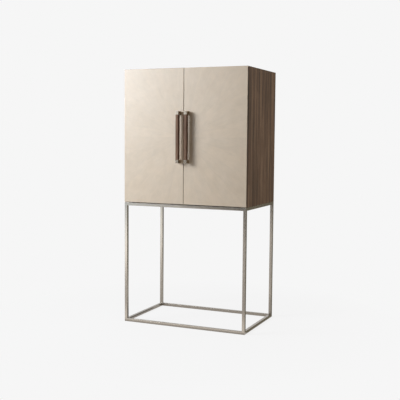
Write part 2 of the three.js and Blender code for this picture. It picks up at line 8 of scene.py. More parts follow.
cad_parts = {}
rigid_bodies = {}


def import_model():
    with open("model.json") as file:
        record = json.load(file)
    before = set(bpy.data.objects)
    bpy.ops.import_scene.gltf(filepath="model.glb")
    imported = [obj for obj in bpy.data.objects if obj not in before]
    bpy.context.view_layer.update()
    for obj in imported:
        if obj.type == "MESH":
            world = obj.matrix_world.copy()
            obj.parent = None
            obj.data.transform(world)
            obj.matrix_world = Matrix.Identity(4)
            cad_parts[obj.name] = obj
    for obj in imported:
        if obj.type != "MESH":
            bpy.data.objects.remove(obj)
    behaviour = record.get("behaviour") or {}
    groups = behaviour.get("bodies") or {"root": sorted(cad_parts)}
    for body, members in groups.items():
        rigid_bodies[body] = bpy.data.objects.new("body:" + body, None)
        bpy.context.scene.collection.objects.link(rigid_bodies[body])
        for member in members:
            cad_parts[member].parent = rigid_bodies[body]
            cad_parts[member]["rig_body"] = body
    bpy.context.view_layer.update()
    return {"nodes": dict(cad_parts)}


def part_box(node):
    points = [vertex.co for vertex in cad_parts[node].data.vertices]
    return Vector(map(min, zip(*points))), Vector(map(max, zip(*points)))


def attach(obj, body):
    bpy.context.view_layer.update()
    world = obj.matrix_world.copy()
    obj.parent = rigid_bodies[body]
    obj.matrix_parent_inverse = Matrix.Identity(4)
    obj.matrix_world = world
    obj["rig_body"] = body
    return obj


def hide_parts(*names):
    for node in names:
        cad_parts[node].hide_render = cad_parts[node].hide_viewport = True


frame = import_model()
nodes = frame["nodes"]

SIDES = ("left", "right")
SIDE_SIGNS = (("left", -1), ("right", 1))
ENDS = ("front", "back")
DOORS = ("door_left", "door_right")
X, Y, Z = 0, 1, 2
UP, DOWN, BACKWARD = Vector((0, 0, 1)), Vector((0, 0, -1)), Vector((0, 1, 0))
MM = 0.001


# Work at the bench: picking and shaping
# First, what counts as one place, as sharp, square on, straight along, flat and smooth
TINY = 0.00001
SHARP_ANGLE = 0.5
SQUARE_ON = 0.9
STRAIGHT_ALONG = 0.99
FLAT_WITHIN = math.radians(1)
SMOOTH_WITHIN = math.radians(35)
ROD_SIDES, SMALL_ROD_SIDES = 32, 24


def drop_selection():
    if bpy.context.object and bpy.context.object.mode != "OBJECT":
        bpy.ops.object.mode_set(mode="OBJECT")
    bpy.ops.object.select_all(action="DESELECT")


def take(piece):
    drop_selection()
    piece.select_set(True)
    bpy.context.view_layer.objects.active = piece


def work_on(piece, mode="FACE"):
    take(piece)
    bpy.ops.object.mode_set(mode="EDIT")
    bpy.ops.mesh.select_mode(type=mode)


def set_down():
    bpy.ops.object.mode_set(mode="OBJECT")


def pick(piece, kind, rule):
    """Selects only those faces or edges of the piece in hand for which the rule holds."""
    bpy.ops.mesh.select_mode(type=kind)
    bpy.ops.mesh.select_all(action="DESELECT")
    cage = bmesh.from_edit_mesh(piece.data)
    for part in {"FACE": cage.faces, "EDGE": cage.edges}[kind]:
        if rule(part):
            part.select_set(True)
    cage.select_flush_mode()
    bmesh.update_edit_mesh(piece.data)


def edge_middle(edge):
    return (edge.verts[0].co + edge.verts[1].co) / 2


def is_sharp(edge):
    return len(edge.link_faces) == 2 and edge.calc_face_angle(0) > SHARP_ANGLE


def runs_along(edge, axis):
    way = (edge.verts[1].co - edge.verts[0].co).normalized()
    return abs(way[axis]) > STRAIGHT_ALONG


def square_to(face, axis):
    return abs(face.normal[axis]) > SQUARE_ON


def step(axis, length=1.0):
    """A step of some length along one axis."""
    return Vector([length * float(axis == other) for other in range(3)])


def settled(name):
    """The primitive just added, under its name and with its place in its mesh."""
    piece = bpy.context.object
    piece.name = piece.data.name = name
    bpy.ops.object.transform_apply(location=True, rotation=True, scale=True)
    return piece


def block(name, low, high):
    """A squared block from one corner to the other."""
    drop_selection()
    low, high = Vector(low), Vector(high)
    bpy.ops.mesh.primitive_cube_add(size=1, location=(low + high) / 2, scale=high - low)
    return settled(name)


def rod(name, radius, low, high, sides=ROD_SIDES):
    """A round bar along Z from one level to the other, round the place that low gives."""
    drop_selection()
    low = Vector(low)
    middle = Vector((low.x, low.y, (low.z + high) / 2))
    bpy.ops.mesh.primitive_cylinder_add(
        vertices=sides, radius=radius, depth=high - low.z, location=middle
    )
    return settled(name)


def ease(width, segments=2):
    """Rounds off the edges in hand."""
    bpy.ops.mesh.bevel(
        offset=width, offset_type="OFFSET", segments=segments, affect="EDGES", clamp_overlap=False
    )


def copied_from(node, name):
    """A loose copy of a node's mesh, its triangles merged back into whole faces, ready to edit."""
    drop_selection()
    piece = bpy.data.objects.new(name, nodes[node].data.copy())
    bpy.context.scene.collection.objects.link(piece)
    take(piece)
    bpy.ops.mesh.customdata_custom_splitnormals_clear()
    work_on(piece, "EDGE")
    bpy.ops.mesh.select_all(action="SELECT")
    bpy.ops.mesh.mark_sharp(clear=True)
    bpy.ops.mesh.remove_doubles(threshold=TINY)
    bpy.ops.mesh.dissolve_limited(angle_limit=FLAT_WITHIN)
    return piece


def cut_away(piece, cutter):
    """Cuts one piece out of another."""
    take(piece)
    cutting = piece.modifiers.new("cut", "BOOLEAN")
    cutting.operation = "DIFFERENCE"
    cutting.solver = "EXACT"
    cutting.object = cutter
    bpy.ops.object.modifier_apply(modifier=cutting.name)
    bpy.data.objects.remove(cutter)


def hand_over(piece, body, finishes, replaced=()):
    """Last work on a piece: even shading, finishes, body, and the nodes that it stands for."""
    take(piece)
    numbers = [face.material_index for face in piece.data.polygons]
    bpy.ops.object.shade_smooth_by_angle(angle=SMOOTH_WITHIN)
    evening = piece.modifiers.new("even_faces", "WEIGHTED_NORMAL")
    evening.keep_sharp = True
    bpy.ops.object.modifier_apply(modifier=evening.name)
    piece.data.materials.clear()
    for finish in finishes:
        piece.data.materials.append(finish)
    for face, number in zip(piece.data.polygons, numbers):
        face.material_index = min(number, len(finishes) - 1)
    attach(piece, body)
    if replaced:
        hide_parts(*replaced)


def finish_faces(piece, rule):
    """Gives each face the number of the finish that the rule names for it."""
    for face in piece.data.polygons:
        face.material_index = rule(face)


def turned(piece, matrix):
    piece.data.transform(matrix)
    piece.data.update()
    return piece


# Finishes: the parts that several of them share
def linear(red, green, blue):
    """A colour as seen, from 0 to 255, in the numbers that the shaders use."""
    def one(value):
        value /= 255
        return value / 12.92 if value <= 0.04045 else ((value + 0.055) / 1.055) ** 2.4

    return (one(red), one(green), one(blue), 1)


FULL_TURN = 2 * math.pi
# Most of a noise lies between these two values
NOISE_LOW, NOISE_HIGH = 0.3, 0.7


class Bench:
    """A node tree, with short ways to put nodes in it and join them."""

    def __init__(self, tree):
        self.tree = tree

    def feed(self, sockets, values):
        """Gives sockets, by name or number, another node's output or a plain value."""
        for name, value in values.items():
            if isinstance(value, bpy.types.NodeSocket):
                self.tree.links.new(value, sockets[name])
            else:
                sockets[name].default_value = value

    def put(self, kind, inputs=None, **settings):
        node = self.tree.nodes.new("ShaderNode" + kind)
        for name, value in settings.items():
            setattr(node, name, value)
        self.feed(node.inputs, inputs or {})
        return node

    def reckon(self, operation, *values, clamp=False):
        node = self.put("Math", dict(enumerate(values)), operation=operation, use_clamp=clamp)
        return node.outputs[0]

    def stretch(self, vector, by):
        return self.put("VectorMath", {0: vector, 1: by}, operation="MULTIPLY").outputs[0]

    def drawn_out(self, vector, share):
        """A vector with its Z shrunk, so that a pattern laid on it is drawn out along Z."""
        return self.stretch(vector, (1, 1, share))

    def speckle(self, vector, scale, detail=2.0, rough=0.5, distortion=0.0):
        inputs = {"Vector": vector, "Scale": scale, "Detail": detail, "Roughness": rough}
        inputs["Distortion"] = distortion
        return self.put("TexNoise", inputs).outputs["Fac"]

    def spread(self, value, from_low, from_high, to_low=0.0, to_high=1.0):
        inputs = {"Value": value, "From Min": from_low, "From Max": from_high}
        inputs.update({"To Min": to_low, "To Max": to_high})
        return self.put("MapRange", inputs).outputs["Result"]

    def blend(self, factor, first, second, mode="MIX"):
        inputs = {0: factor, 6: first, 7: second}
        return self.put("Mix", inputs, data_type="RGBA", blend_type=mode).outputs[2]

    def shaded(self, color, value):
        """A colour times a plain value."""
        gray = self.put("CombineColor", {"Red": value, "Green": value, "Blue": value})
        return self.blend(1.0, color, gray.outputs["Color"], "MULTIPLY")

    def group(self, group, inputs):
        return self.put("Group", inputs, node_tree=group).outputs

    def placed(self, turn=(0, 0, 0), shift=(0, 0, 0)):
        """Object coordinates, turned or shifted."""
        where = self.put("TexCoord").outputs["Object"]
        inputs = {"Vector": where, "Rotation": turn, "Location": shift}
        return self.put("Mapping", inputs).outputs[0]

    def raised(self, height, distance, strength=1.0):
        """The normal of a surface with this relief."""
        inputs = {"Height": height, "Distance": distance, "Strength": strength}
        return self.put("Bump", inputs).outputs["Normal"]


def shared(name, inputs, outputs):
    """An empty node group with named sockets, and its two ends."""
    group = bpy.data.node_groups.new(name, "ShaderNodeTree")
    for label, kind, value in inputs:
        socket = group.interface.new_socket(label, in_out="INPUT", socket_type="NodeSocket" + kind)
        if value is not None:
            socket.default_value = value
    for label, kind in outputs:
        group.interface.new_socket(label, in_out="OUTPUT", socket_type="NodeSocket" + kind)
    start = group.nodes.new("NodeGroupInput")
    end = group.nodes.new("NodeGroupOutput")
    return group, Bench(group), start.outputs, end.inputs


# Wood: widths are in metres, and the scale of a noise says how many of its patches fill a metre
WIDE_STREAK, NARROW_STREAK = 0.03, 0.012
FIBRE_SCALE, PORE_SCALE = 300.0, 2600.0
# How many growth lines cross the streaks, as an angle
RING_PHASE = 64.0
PORE_RANGE, PORE_DEPTH = (0.58, 0.7), 0.6
PORE_TINT = (0.45, 0.41, 0.38, 1)


def make_wood_figure():
    """Walnut figure, its grain along the vector's Z: streaks, growth lines, fibres and pores."""
    group, bench, given, result = shared(
        "wood_figure",
        [
            ("Vector", "Vector", None),
            ("Streak Width", "Float", WIDE_STREAK),
            ("Light", "Color", None),
            ("Middle", "Color", None),
            ("Dark", "Color", None),
            ("Pore Depth", "Float", PORE_DEPTH),
        ],
        [("Color", "Color"), ("Height", "Float"), ("Roughness", "Float")],
    )
    vector = given["Vector"]
    per_metre = bench.reckon("DIVIDE", 1.0, given["Streak Width"])
    along_grain = bench.drawn_out(vector, 0.05)
    streaks = bench.speckle(along_grain, per_metre, detail=3.0, rough=0.55, distortion=0.4)
    rings = bench.reckon("SINE", bench.reckon("MULTIPLY", streaks, RING_PHASE))
    rings = bench.spread(rings, -1, 1)
    fibres = bench.speckle(bench.drawn_out(vector, 0.035), FIBRE_SCALE, detail=2.0, rough=0.65)
    pores = bench.speckle(bench.drawn_out(vector, 0.04), PORE_SCALE, detail=1.0, rough=0.5)
    pores = bench.spread(pores, *PORE_RANGE)

    # The tone runs from 0, dark, to 1, light: streaks count most, then fibres and rings
    tone = bench.reckon("MULTIPLY_ADD", streaks, 3.2, -1.1)
    tone = bench.reckon("ADD", tone, bench.reckon("MULTIPLY_ADD", rings, 0.28, -0.14))
    tone = bench.reckon("ADD", tone, bench.reckon("MULTIPLY_ADD", fibres, 0.8, -0.4), clamp=True)
    color = bench.blend(bench.spread(tone, 0.0, 0.5), given["Dark"], given["Middle"])
    color = bench.blend(bench.spread(tone, 0.5, 1.0), color, given["Light"])
    in_pores = bench.reckon("MULTIPLY", pores, given["Pore Depth"])
    sunk = bench.reckon("MULTIPLY", in_pores, -1.0)
    bench.feed(result, {
        "Color": bench.blend(in_pores, color, PORE_TINT, "MULTIPLY"),
        "Height": bench.reckon("MULTIPLY_ADD", fibres, 0.3, sunk),
        "Roughness": bench.spread(fibres, NOISE_LOW, NOISE_HIGH),
    })
    return group


SPECKS_FINER = 17.0


def make_handling():
    """Faint smears and specks that touching and dusting leave: a value about one half."""
    group, bench, given, result = shared(
        "handling",
        [("Vector", "Vector", None), ("Scale", "Float", None), ("Amount", "Float", None)],
        [("Value", "Float")],
    )
    smears = bench.speckle(given["Vector"], given["Scale"], detail=4.0, rough=0.6, distortion=0.8)
    finer = bench.reckon("MULTIPLY", given["Scale"], SPECKS_FINER)
    specks = bench.speckle(given["Vector"], finer)
    both = bench.reckon("MULTIPLY_ADD", specks, 0.35, bench.reckon("MULTIPLY", smears, 0.65))
    both = bench.reckon("MULTIPLY", bench.reckon("SUBTRACT", both, 0.5), given["Amount"])
    bench.feed(result, {"Value": bench.reckon("ADD", both, 0.5)})
    return group


# Hide: widths and reaches are in metres, and the scale of a noise is as for wood
PEBBLE_WIDTH, MOTTLE_WIDTH = 0.0012, 0.06
BEND_SCALE, BEND_REACH = 300.0, 0.0006
SWELL_SCALE = 120.0
WARMTH_SHIFT, WARMTH_SLOWER = (3.1, 1.7, 5.3), 0.7
WEDGES, JOINT_WIDTH = 24.0, 0.0006
STREAK_SCALE, HAIR_SCALE = 34.0, 900.0
# How far apart the wedges' streaks are taken from the same noise
WEDGE_SHIFT = 0.37


def make_hide_grain():
    """Fine pebbled hide: a height with creases between the pebbles, and slow mottling."""
    group, bench, given, result = shared(
        "hide_grain",
        [
            ("Vector", "Vector", None),
            ("Pebble", "Float", PEBBLE_WIDTH),
            ("Mottle", "Float", MOTTLE_WIDTH),
        ],
        [("Height", "Float"), ("Mottling", "Float"), ("Warmth", "Float")],
    )
    vector = given["Vector"]
    # The pebbles' places are bent a little, so that their edges aren't straight
    bend = {0: bench.speckle(vector, BEND_SCALE), 1: (BEND_REACH,) * 3, 2: vector}
    bent = bench.put("VectorMath", bend, operation="MULTIPLY_ADD").outputs[0]
    per_pebble = bench.reckon("DIVIDE", 1.0, given["Pebble"])
    pebbles = bench.put("TexVoronoi", {"Vector": bent, "Scale": per_pebble}, feature="F1")
    tops = bench.spread(pebbles.outputs["Distance"], 0.75, 0.1)
    soft = bench.speckle(vector, SWELL_SCALE, detail=3.0)
    per_mottle = bench.reckon("DIVIDE", 1.0, given["Mottle"])
    cloud = bench.speckle(vector, per_mottle, detail=3.0, rough=0.55, distortion=0.3)
    elsewhere = bench.put("VectorMath", {0: vector, 1: WARMTH_SHIFT}, operation="ADD").outputs[0]
    slower = bench.reckon("MULTIPLY", per_mottle, WARMTH_SLOWER)
    bench.feed(result, {
        "Height": bench.reckon("MULTIPLY_ADD", soft, 0.6, bench.reckon("MULTIPLY", tops, 0.4)),
        "Mottling": cloud,
        "Warmth": bench.speckle(elsewhere, slower),
    })
    return group


def make_sunburst():
    """Hide in wedges round the vector's origin, in its XZ plane: tints, joints, streaks, hairs."""
    group, bench, given, result = shared(
        "sunburst",
        [
            ("Vector", "Vector", None),
            ("Wedges", "Float", WEDGES),
            ("Joint Width", "Float", JOINT_WIDTH),
        ],
        [("Tint", "Float"), ("Joint", "Float"), ("Streaks", "Float"), ("Hairs", "Float")],
    )
    apart = bench.put("SeparateXYZ", {"Vector": given["Vector"]}).outputs
    angle = bench.reckon("ARCTAN2", apart["X"], apart["Z"])
    turn = bench.reckon("MULTIPLY_ADD", angle, 1 / FULL_TURN, 0.5)
    place = bench.reckon("MULTIPLY", turn, given["Wedges"])
    number = bench.reckon("FLOOR", place)
    tint = bench.put("TexWhiteNoise", {"W": number}, noise_dimensions="1D").outputs["Value"]

    # How far a point is from the nearer joint, as an arc in metres
    within = bench.reckon("FRACT", place)
    from_middle = bench.reckon("ABSOLUTE", bench.reckon("SUBTRACT", within, 0.5))
    off = bench.reckon("SUBTRACT", 0.5, from_middle)
    flat = bench.stretch(given["Vector"], (1, 0, 1))
    radius = bench.put("VectorMath", {0: flat}, operation="LENGTH").outputs["Value"]
    arc = bench.reckon("MULTIPLY", bench.reckon("MULTIPLY", off, radius), FULL_TURN)
    arc = bench.reckon("DIVIDE", arc, given["Wedges"])
    half_joint = bench.reckon("MULTIPLY", given["Joint Width"], 0.5)

    # Each wedge is turned upright, so that its streaks run along it
    middle = bench.reckon("DIVIDE", bench.reckon("ADD", number, 0.5), given["Wedges"])
    middle = bench.reckon("MULTIPLY_ADD", middle, FULL_TURN, -math.pi)
    lying = bench.put(
        "VectorRotate", {"Vector": flat, "Angle": middle}, rotation_type="Y_AXIS", invert=True
    )
    parts = bench.put("SeparateXYZ", {"Vector": lying.outputs[0]}).outputs
    own = bench.reckon("MULTIPLY", number, WEDGE_SHIFT)
    along = bench.reckon("MULTIPLY", parts["Z"], 0.27)
    where = bench.put("CombineXYZ", {"X": parts["X"], "Y": own, "Z": along}).outputs[0]
    longer = bench.drawn_out(where, 0.18)
    bench.feed(result, {
        "Tint": tint,
        "Joint": bench.spread(arc, half_joint, 0.0),
        "Streaks": bench.speckle(where, STREAK_SCALE, detail=3.0, rough=0.6, distortion=0.7),
        "Hairs": bench.speckle(longer, HAIR_SCALE, detail=2.0, rough=0.6),
    })
    return group


# Metal
BRUSH_LINE_WIDTH, BRUSH_BAND_SCALE = 0.0006, 90.0


def make_brushing():
    """Brush lines along the vector's Z: a tone and a height, both about one half."""
    group, bench, given, result = shared(
        "brushing",
        [("Vector", "Vector", None), ("Line Width", "Float", BRUSH_LINE_WIDTH)],
        [("Tone", "Float"), ("Height", "Float")],
    )
    vector = given["Vector"]
    per_metre = bench.reckon("DIVIDE", 1.0, given["Line Width"])
    lines = bench.speckle(bench.drawn_out(vector, 0.012), per_metre, detail=3.0, rough=0.65)
    wide = bench.speckle(bench.drawn_out(vector, 0.05), BRUSH_BAND_SCALE)
    tone = bench.reckon("MULTIPLY_ADD", wide, 0.4, bench.reckon("MULTIPLY", lines, 0.6))
    bench.feed(result, {"Tone": tone, "Height": lines})
    return group


wood_figure = make_wood_figure()
handling = make_handling()
hide_grain = make_hide_grain()
sunburst = make_sunburst()
brushing = make_brushing()


# Finishes themselves. Reliefs are in metres
WOOD_RELIEF, METAL_RELIEF, HIDE_RELIEF = 0.00012, 0.00003, 0.0002
WOOD_GLOSS, HIDE_GLOSS = 0.2, 0.8
WOOD_ROUGHNESS, GRIP_ROUGHNESS = (0.5, 0.62), (0.42, 0.52)
# How far a metal's roughness goes either way
METAL_SWING = 0.05
HIDE_COAT, HIDE_COAT_ROUGHNESS = 0.8, 0.45
GLASS_IOR = 1.5
# Turns that lay the grain or the brush lines along an axis
ALONG = {"X": (0, math.pi / 2, 0), "Y": (math.pi / 2, 0, 0), "Z": (0, 0, 0)}


def empty_finish(name):
    finish = bpy.data.materials.new(name)
    finish.use_nodes = True
    finish.node_tree.nodes.clear()
    return finish, Bench(finish.node_tree)


def new_finish(name):
    finish, bench = empty_finish(name)
    shader = bench.put("BsdfPrincipled")
    bench.put("OutputMaterial", {"Surface": shader.outputs["BSDF"]})
    return finish, bench, shader.inputs


def touched(bench, where, scale, amount):
    """How much rougher or smoother handling has left each place."""
    marks = bench.group(handling, {"Vector": where, "Scale": scale, "Amount": amount})
    return bench.reckon("SUBTRACT", marks["Value"], 0.5)


def wood_finish(name, turn, tones, streak=WIDE_STREAK, rough=WOOD_ROUGHNESS):
    finish, bench, shader = new_finish(name)
    where = bench.placed(turn)
    inputs = dict(zip(("Light", "Middle", "Dark"), tones))
    inputs.update({"Vector": where, "Streak Width": streak})
    figure = bench.group(wood_figure, inputs)
    least, most = rough
    roughness = bench.reckon("MULTIPLY_ADD", figure["Roughness"], most - least, least)
    bench.feed(shader, {
        "Base Color": figure["Color"],
        "Roughness": bench.reckon("ADD", roughness, touched(bench, where, 7.0, 0.3)),
        "Specular IOR Level": WOOD_GLOSS,
        "Normal": bench.raised(figure["Height"], WOOD_RELIEF),
    })
    return finish


def metal_finish(name, turn, color, rough, tone=0.08):
    """Brushed metal. The tone says how much lighter and darker its brush lines are."""
    finish, bench, shader = new_finish(name)
    where = bench.placed(turn)
    brushed = bench.group(brushing, {"Vector": where})
    shade = bench.spread(brushed["Tone"], NOISE_LOW, NOISE_HIGH, 1 - tone, 1 + tone)
    least, most = rough - METAL_SWING, rough + METAL_SWING
    roughness = bench.spread(brushed["Tone"], NOISE_LOW, NOISE_HIGH, least, most)
    bench.feed(shader, {
        "Base Color": bench.shaded(color, shade),
        "Metallic": 1.0,
        "Roughness": bench.reckon("ADD", roughness, touched(bench, where, 11.0, 0.06)),
        "Normal": bench.raised(brushed["Height"], METAL_RELIEF),
    })
    return finish


HIDE_TONES = (linear(203, 182, 154), linear(210, 189, 162))
HIDE_JOINT = linear(150, 134, 114)
HIDE_WARMER = (1.0, 0.985, 0.965, 1)


def hide_finish():
    """Pale hide in wedges that fan out from between the handles."""
    finish, bench, shader = new_finish("hide")
    where = bench.placed()
    low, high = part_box("handle_grip_left")
    round_handles = bench.placed(shift=(0, 0, -(low.z + high.z) / 2))
    grain = bench.group(hide_grain, {"Vector": where})
    rays = bench.group(sunburst, {"Vector": round_handles})

    # Slow mottling and warmth, then each wedge's own tint with its streaks and hairs
    color = bench.blend(bench.spread(grain["Mottling"], NOISE_LOW, NOISE_HIGH), *HIDE_TONES)
    warmer = bench.blend(1.0, color, HIDE_WARMER, "MULTIPLY")
    color = bench.blend(bench.spread(grain["Warmth"], 0.35, 0.65), color, warmer)
    wedge = bench.spread(rays["Tint"], 0.0, 1.0, 0.965, 1.0)
    streaks = bench.spread(rays["Streaks"], NOISE_LOW, NOISE_HIGH, 0.955, 1.03)
    hairs = bench.spread(rays["Hairs"], NOISE_LOW, NOISE_HIGH, 0.97, 1.03)
    wedge = bench.reckon("MULTIPLY", bench.reckon("MULTIPLY", wedge, streaks), hairs)
    color = bench.shaded(color, wedge)
    jointed = bench.reckon("MULTIPLY", rays["Joint"], 0.35)

    marks = bench.group(handling, {"Vector": where, "Scale": 5.0, "Amount": 0.3})
    height = bench.reckon("MULTIPLY_ADD", rays["Joint"], -1.2, grain["Height"])
    height = bench.reckon("MULTIPLY_ADD", rays["Hairs"], 0.25, height)
    bench.feed(shader, {
        "Base Color": bench.blend(jointed, color, HIDE_JOINT),
        "Roughness": bench.reckon("ADD", marks["Value"], -0.03),
        "Specular IOR Level": HIDE_GLOSS,
        "Coat Weight": HIDE_COAT,
        "Coat Roughness": HIDE_COAT_ROUGHNESS,
        "Normal": bench.raised(height, HIDE_RELIEF, 0.9),
    })
    return finish


def glass_finish(name, color, rough):
    finish, bench, shader = new_finish(name)
    where = bench.placed()
    marks = bench.group(handling, {"Vector": where, "Scale": 14.0, "Amount": 0.06})
    bench.feed(shader, {
        "Base Color": color,
        "Roughness": bench.reckon("ADD", marks["Value"], rough - 0.5),
        "Transmission Weight": 1.0,
        "IOR": GLASS_IOR,
    })
    return finish


# Wood in three tones: light, middle and dark
WALNUT_TONES = (linear(126, 102, 81), linear(101, 78, 60), linear(68, 52, 39))
EDGE_TONES = (linear(92, 72, 56), linear(70, 53, 40), linear(48, 36, 27))
GRIP_TONES = (linear(136, 104, 81), linear(112, 84, 65), linear(86, 61, 46))
NICKEL = linear(147, 139, 129)
WARM_NICKEL = linear(162, 148, 132)
BRASS = linear(196, 160, 104)
STEEL = linear(74, 72, 70)
GLASS, GREEN_EDGE = (0.9, 0.97, 0.95, 1), (0.35, 0.62, 0.55, 1)
SOFT_PLASTIC = (0.86, 0.86, 0.82, 1)

walnut_upright = wood_finish("walnut_upright", ALONG["Z"], WALNUT_TONES)
walnut_across = wood_finish("walnut_across", ALONG["X"], WALNUT_TONES)
walnut_deep = wood_finish("walnut_deep", ALONG["Y"], WALNUT_TONES)
door_edge_walnut = wood_finish("door_edge_walnut", ALONG["Z"], EDGE_TONES)
# Darker walnut for the strip under the doors, which is painted shade that darkens the gap there
shade_line_walnut = wood_finish("shade_line_walnut", ALONG["X"], EDGE_TONES)
low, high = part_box("bottle_divider_rising")
slant = math.atan2(high.z - low.z, high.x - low.x)
walnut_rising = wood_finish("walnut_rising", (0, math.pi / 2 + slant, 0), WALNUT_TONES)
walnut_falling = wood_finish("walnut_falling", (0, math.pi / 2 - slant, 0), WALNUT_TONES)
grip_walnut = wood_finish("grip_walnut", ALONG["Z"], GRIP_TONES, NARROW_STREAK, GRIP_ROUGHNESS)
hide = hide_finish()
nickel = {
    way: metal_finish(f"nickel_along_{way.lower()}", ALONG[way], NICKEL, rough=0.26)
    for way in "XYZ"
}
handle_nickel = metal_finish("handle_nickel", ALONG["Z"], WARM_NICKEL, rough=0.22)
brass = metal_finish("brass", ALONG["X"], BRASS, rough=0.3)
dark_steel = metal_finish("dark_steel", ALONG["X"], STEEL, rough=0.42, tone=0.15)
clear_glass = glass_finish("clear_glass", GLASS, rough=0.03)
glass_edge = glass_finish("glass_edge", GREEN_EDGE, rough=0.12)
soft_clear = glass_finish("soft_clear", SOFT_PLASTIC, rough=0.35)


# Stand, welded from square tube: one piece for its twelve tubes
RAIL_ENDS = (*ENDS, *SIDES)
STAND_TUBES = [f"{ring}_rail_{end}" for ring in ("base", "top") for end in RAIL_ENDS]
STAND_TUBES += [f"leg_{end}_{side}" for end in ENDS for side in SIDES]
TUBE_ROUNDING = 1.0 * MM
BOLT_ACCESS_RADIUS = 6.5 * MM
BOLT_SHANK_RADIUS = 3.3 * MM
TUBE_WALL = 1.5 * MM


def build_stand():
    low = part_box("base_rail_front")[0]
    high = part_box("top_rail_back")[1]
    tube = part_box("base_rail_front")[1].z - low.z
    stand = block("stand", low, high)
    work_on(stand)
    for axis in (X, Y, Z):
        way = step(axis)
        for level in (low[axis] + tube, high[axis] - tube):
            bpy.ops.mesh.select_all(action="SELECT")
            bpy.ops.mesh.bisect(plane_co=way * level, plane_no=way)

    # Each opening is pushed in by a tube's thickness, then taken out
    for axis in (X, Y, Z):
        for inward, level in ((1, low[axis]), (-1, high[axis])):
            middle = (low + high) / 2
            middle[axis] = level
            pick(stand, "FACE", lambda face: (face.calc_center_median() - middle).length < MM)
            push = step(axis, inward * tube)
            bpy.ops.mesh.extrude_region_move(TRANSFORM_OT_translate={"value": push})
            bpy.ops.mesh.delete(type="FACE")
    bpy.ops.mesh.select_all(action="SELECT")
    bpy.ops.mesh.remove_doubles(threshold=TINY)
    bpy.ops.mesh.select_all(action="SELECT")
    bpy.ops.mesh.normals_make_consistent(inside=False)
    pick(stand, "EDGE", is_sharp)
    ease(TUBE_ROUNDING, segments=3)
    set_down()
    drill_bolt_holes(stand, high.z, tube)

    inner = high - Vector((tube, tube, tube))
    half_depth = (high.y - low.y) / 2 - tube
    centre = (low.y + high.y) / 2

    def brushed_along(face):
        """Legs are brushed upright, front and back rails across, side rails front to back."""
        at_side = abs(face.center.x) > inner.x
        at_end = abs(face.center.y - centre) > half_depth
        if at_side and at_end:
            return Z
        return X if at_end else Y

    finish_faces(stand, brushed_along)
    hand_over(stand, "cabinet", [nickel[way] for way in "XYZ"], STAND_TUBES)


def drill_bolt_holes(stand, top, tube):
    """Holes for the carcass bolts: wide in the tube for the head, narrow through its top wall."""
    for end in ENDS:
        for side in SIDES:
            bolt_low, bolt_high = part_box(f"carcass_bolt_{end}_{side}")
            middle = (bolt_low + bolt_high) / 2
            start = (middle.x, middle.y, top - tube - MM)
            cut_away(stand, rod("access", BOLT_ACCESS_RADIUS, start, top - TUBE_WALL))
            start = (middle.x, middle.y, top - 2 * TUBE_WALL)
            cut_away(stand, rod("shank", BOLT_SHANK_RADIUS, start, top + MM))


# Boards of the carcass and the doors' cores: the nodes' own shapes, with eased edges
BOARD_EASING, DIVIDER_EASING = 0.8 * MM, 0.6 * MM
# Shorter edges, in housings and recesses, stay as they are
BOARD_EDGE, DIVIDER_EDGE = 0.1, 0.05
# Screws through the back, as shares of its height and of half its width
BACK_SCREW_HEIGHTS = (0.04, 0.23, 0.42, 0.61, 0.8, 0.96)
BACK_SCREW_WIDTHS = (-0.72, -0.36, 0.36, 0.72)


def build_board(node, finish, banding=None, grain=Z, width=BOARD_EASING, shortest=BOARD_EDGE):
    """Veneer over the board, and banding along the edge where the end grain would show."""
    piece = copied_from(node, node + "_eased")
    pick(piece, "EDGE", lambda edge: is_sharp(edge) and edge.calc_length() > shortest)
    ease(width)
    set_down()
    if node == "back_panel":
        screw_back_panel(piece)
    finish_faces(piece, lambda face: int(square_to(face, grain)))
    finishes = [finish, banding or finish]
    if node in DOORS:
        finishes.append(door_edge_walnut)
        for face in piece.data.polygons:
            if square_to(face, X):
                face.material_index = 2
    hand_over(piece, nodes[node]["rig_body"], finishes, [node])


def screw_back_panel(panel):
    """Screws into the partition and the back edges of the shelves."""
    low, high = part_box("back_panel")
    shelf_low, shelf_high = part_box("counter_shelf")
    level = (shelf_low.z + shelf_high.z) / 2
    places = [(0, low.z + share * (high.z - low.z)) for share in BACK_SCREW_HEIGHTS]
    places += [(share * high.x, level) for share in BACK_SCREW_WIDTHS]
    for x, z in places:
        screw_down(panel, (x, high.y, z), BACKWARD, "cabinet", dark_steel)


def build_boards():
    for node in ("side_panel_left", "side_panel_right", "partition"):
        build_board(node, walnut_upright, walnut_deep)
    for node in ("back_panel", *DOORS):
        build_board(node, walnut_upright, walnut_across)
    for node in ("top_panel", "bottom_panel", "bottle_shelf", "counter_shelf", "fold_out_shelf"):
        build_board(node, walnut_across, walnut_deep, grain=X)
    for way, finish in (("rising", walnut_rising), ("falling", walnut_falling)):
        node = f"bottle_divider_{way}"
        build_board(node, finish, width=DIVIDER_EASING, shortest=DIVIDER_EDGE)


# Door facings: hide drawn over the front and turned in at the edges
FACING_ROUNDING = 1.6 * MM


def build_facing(side):
    node = f"door_facing_{side}"
    low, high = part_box(node)
    facing = block(node + "_hide", low, high)
    work_on(facing, "EDGE")
    pick(facing, "EDGE", lambda edge: edge_middle(edge).y < low.y + TINY)
    ease(FACING_ROUNDING, segments=4)
    set_down()
    hand_over(facing, f"{side}_door", [hide], [node])


# Handles: a chamfered walnut grip between two metal posts
GRIP_CHAMFER = 2 * MM
GRIP_EASING = 0.4 * MM
POST_ROUNDING = 0.6 * MM


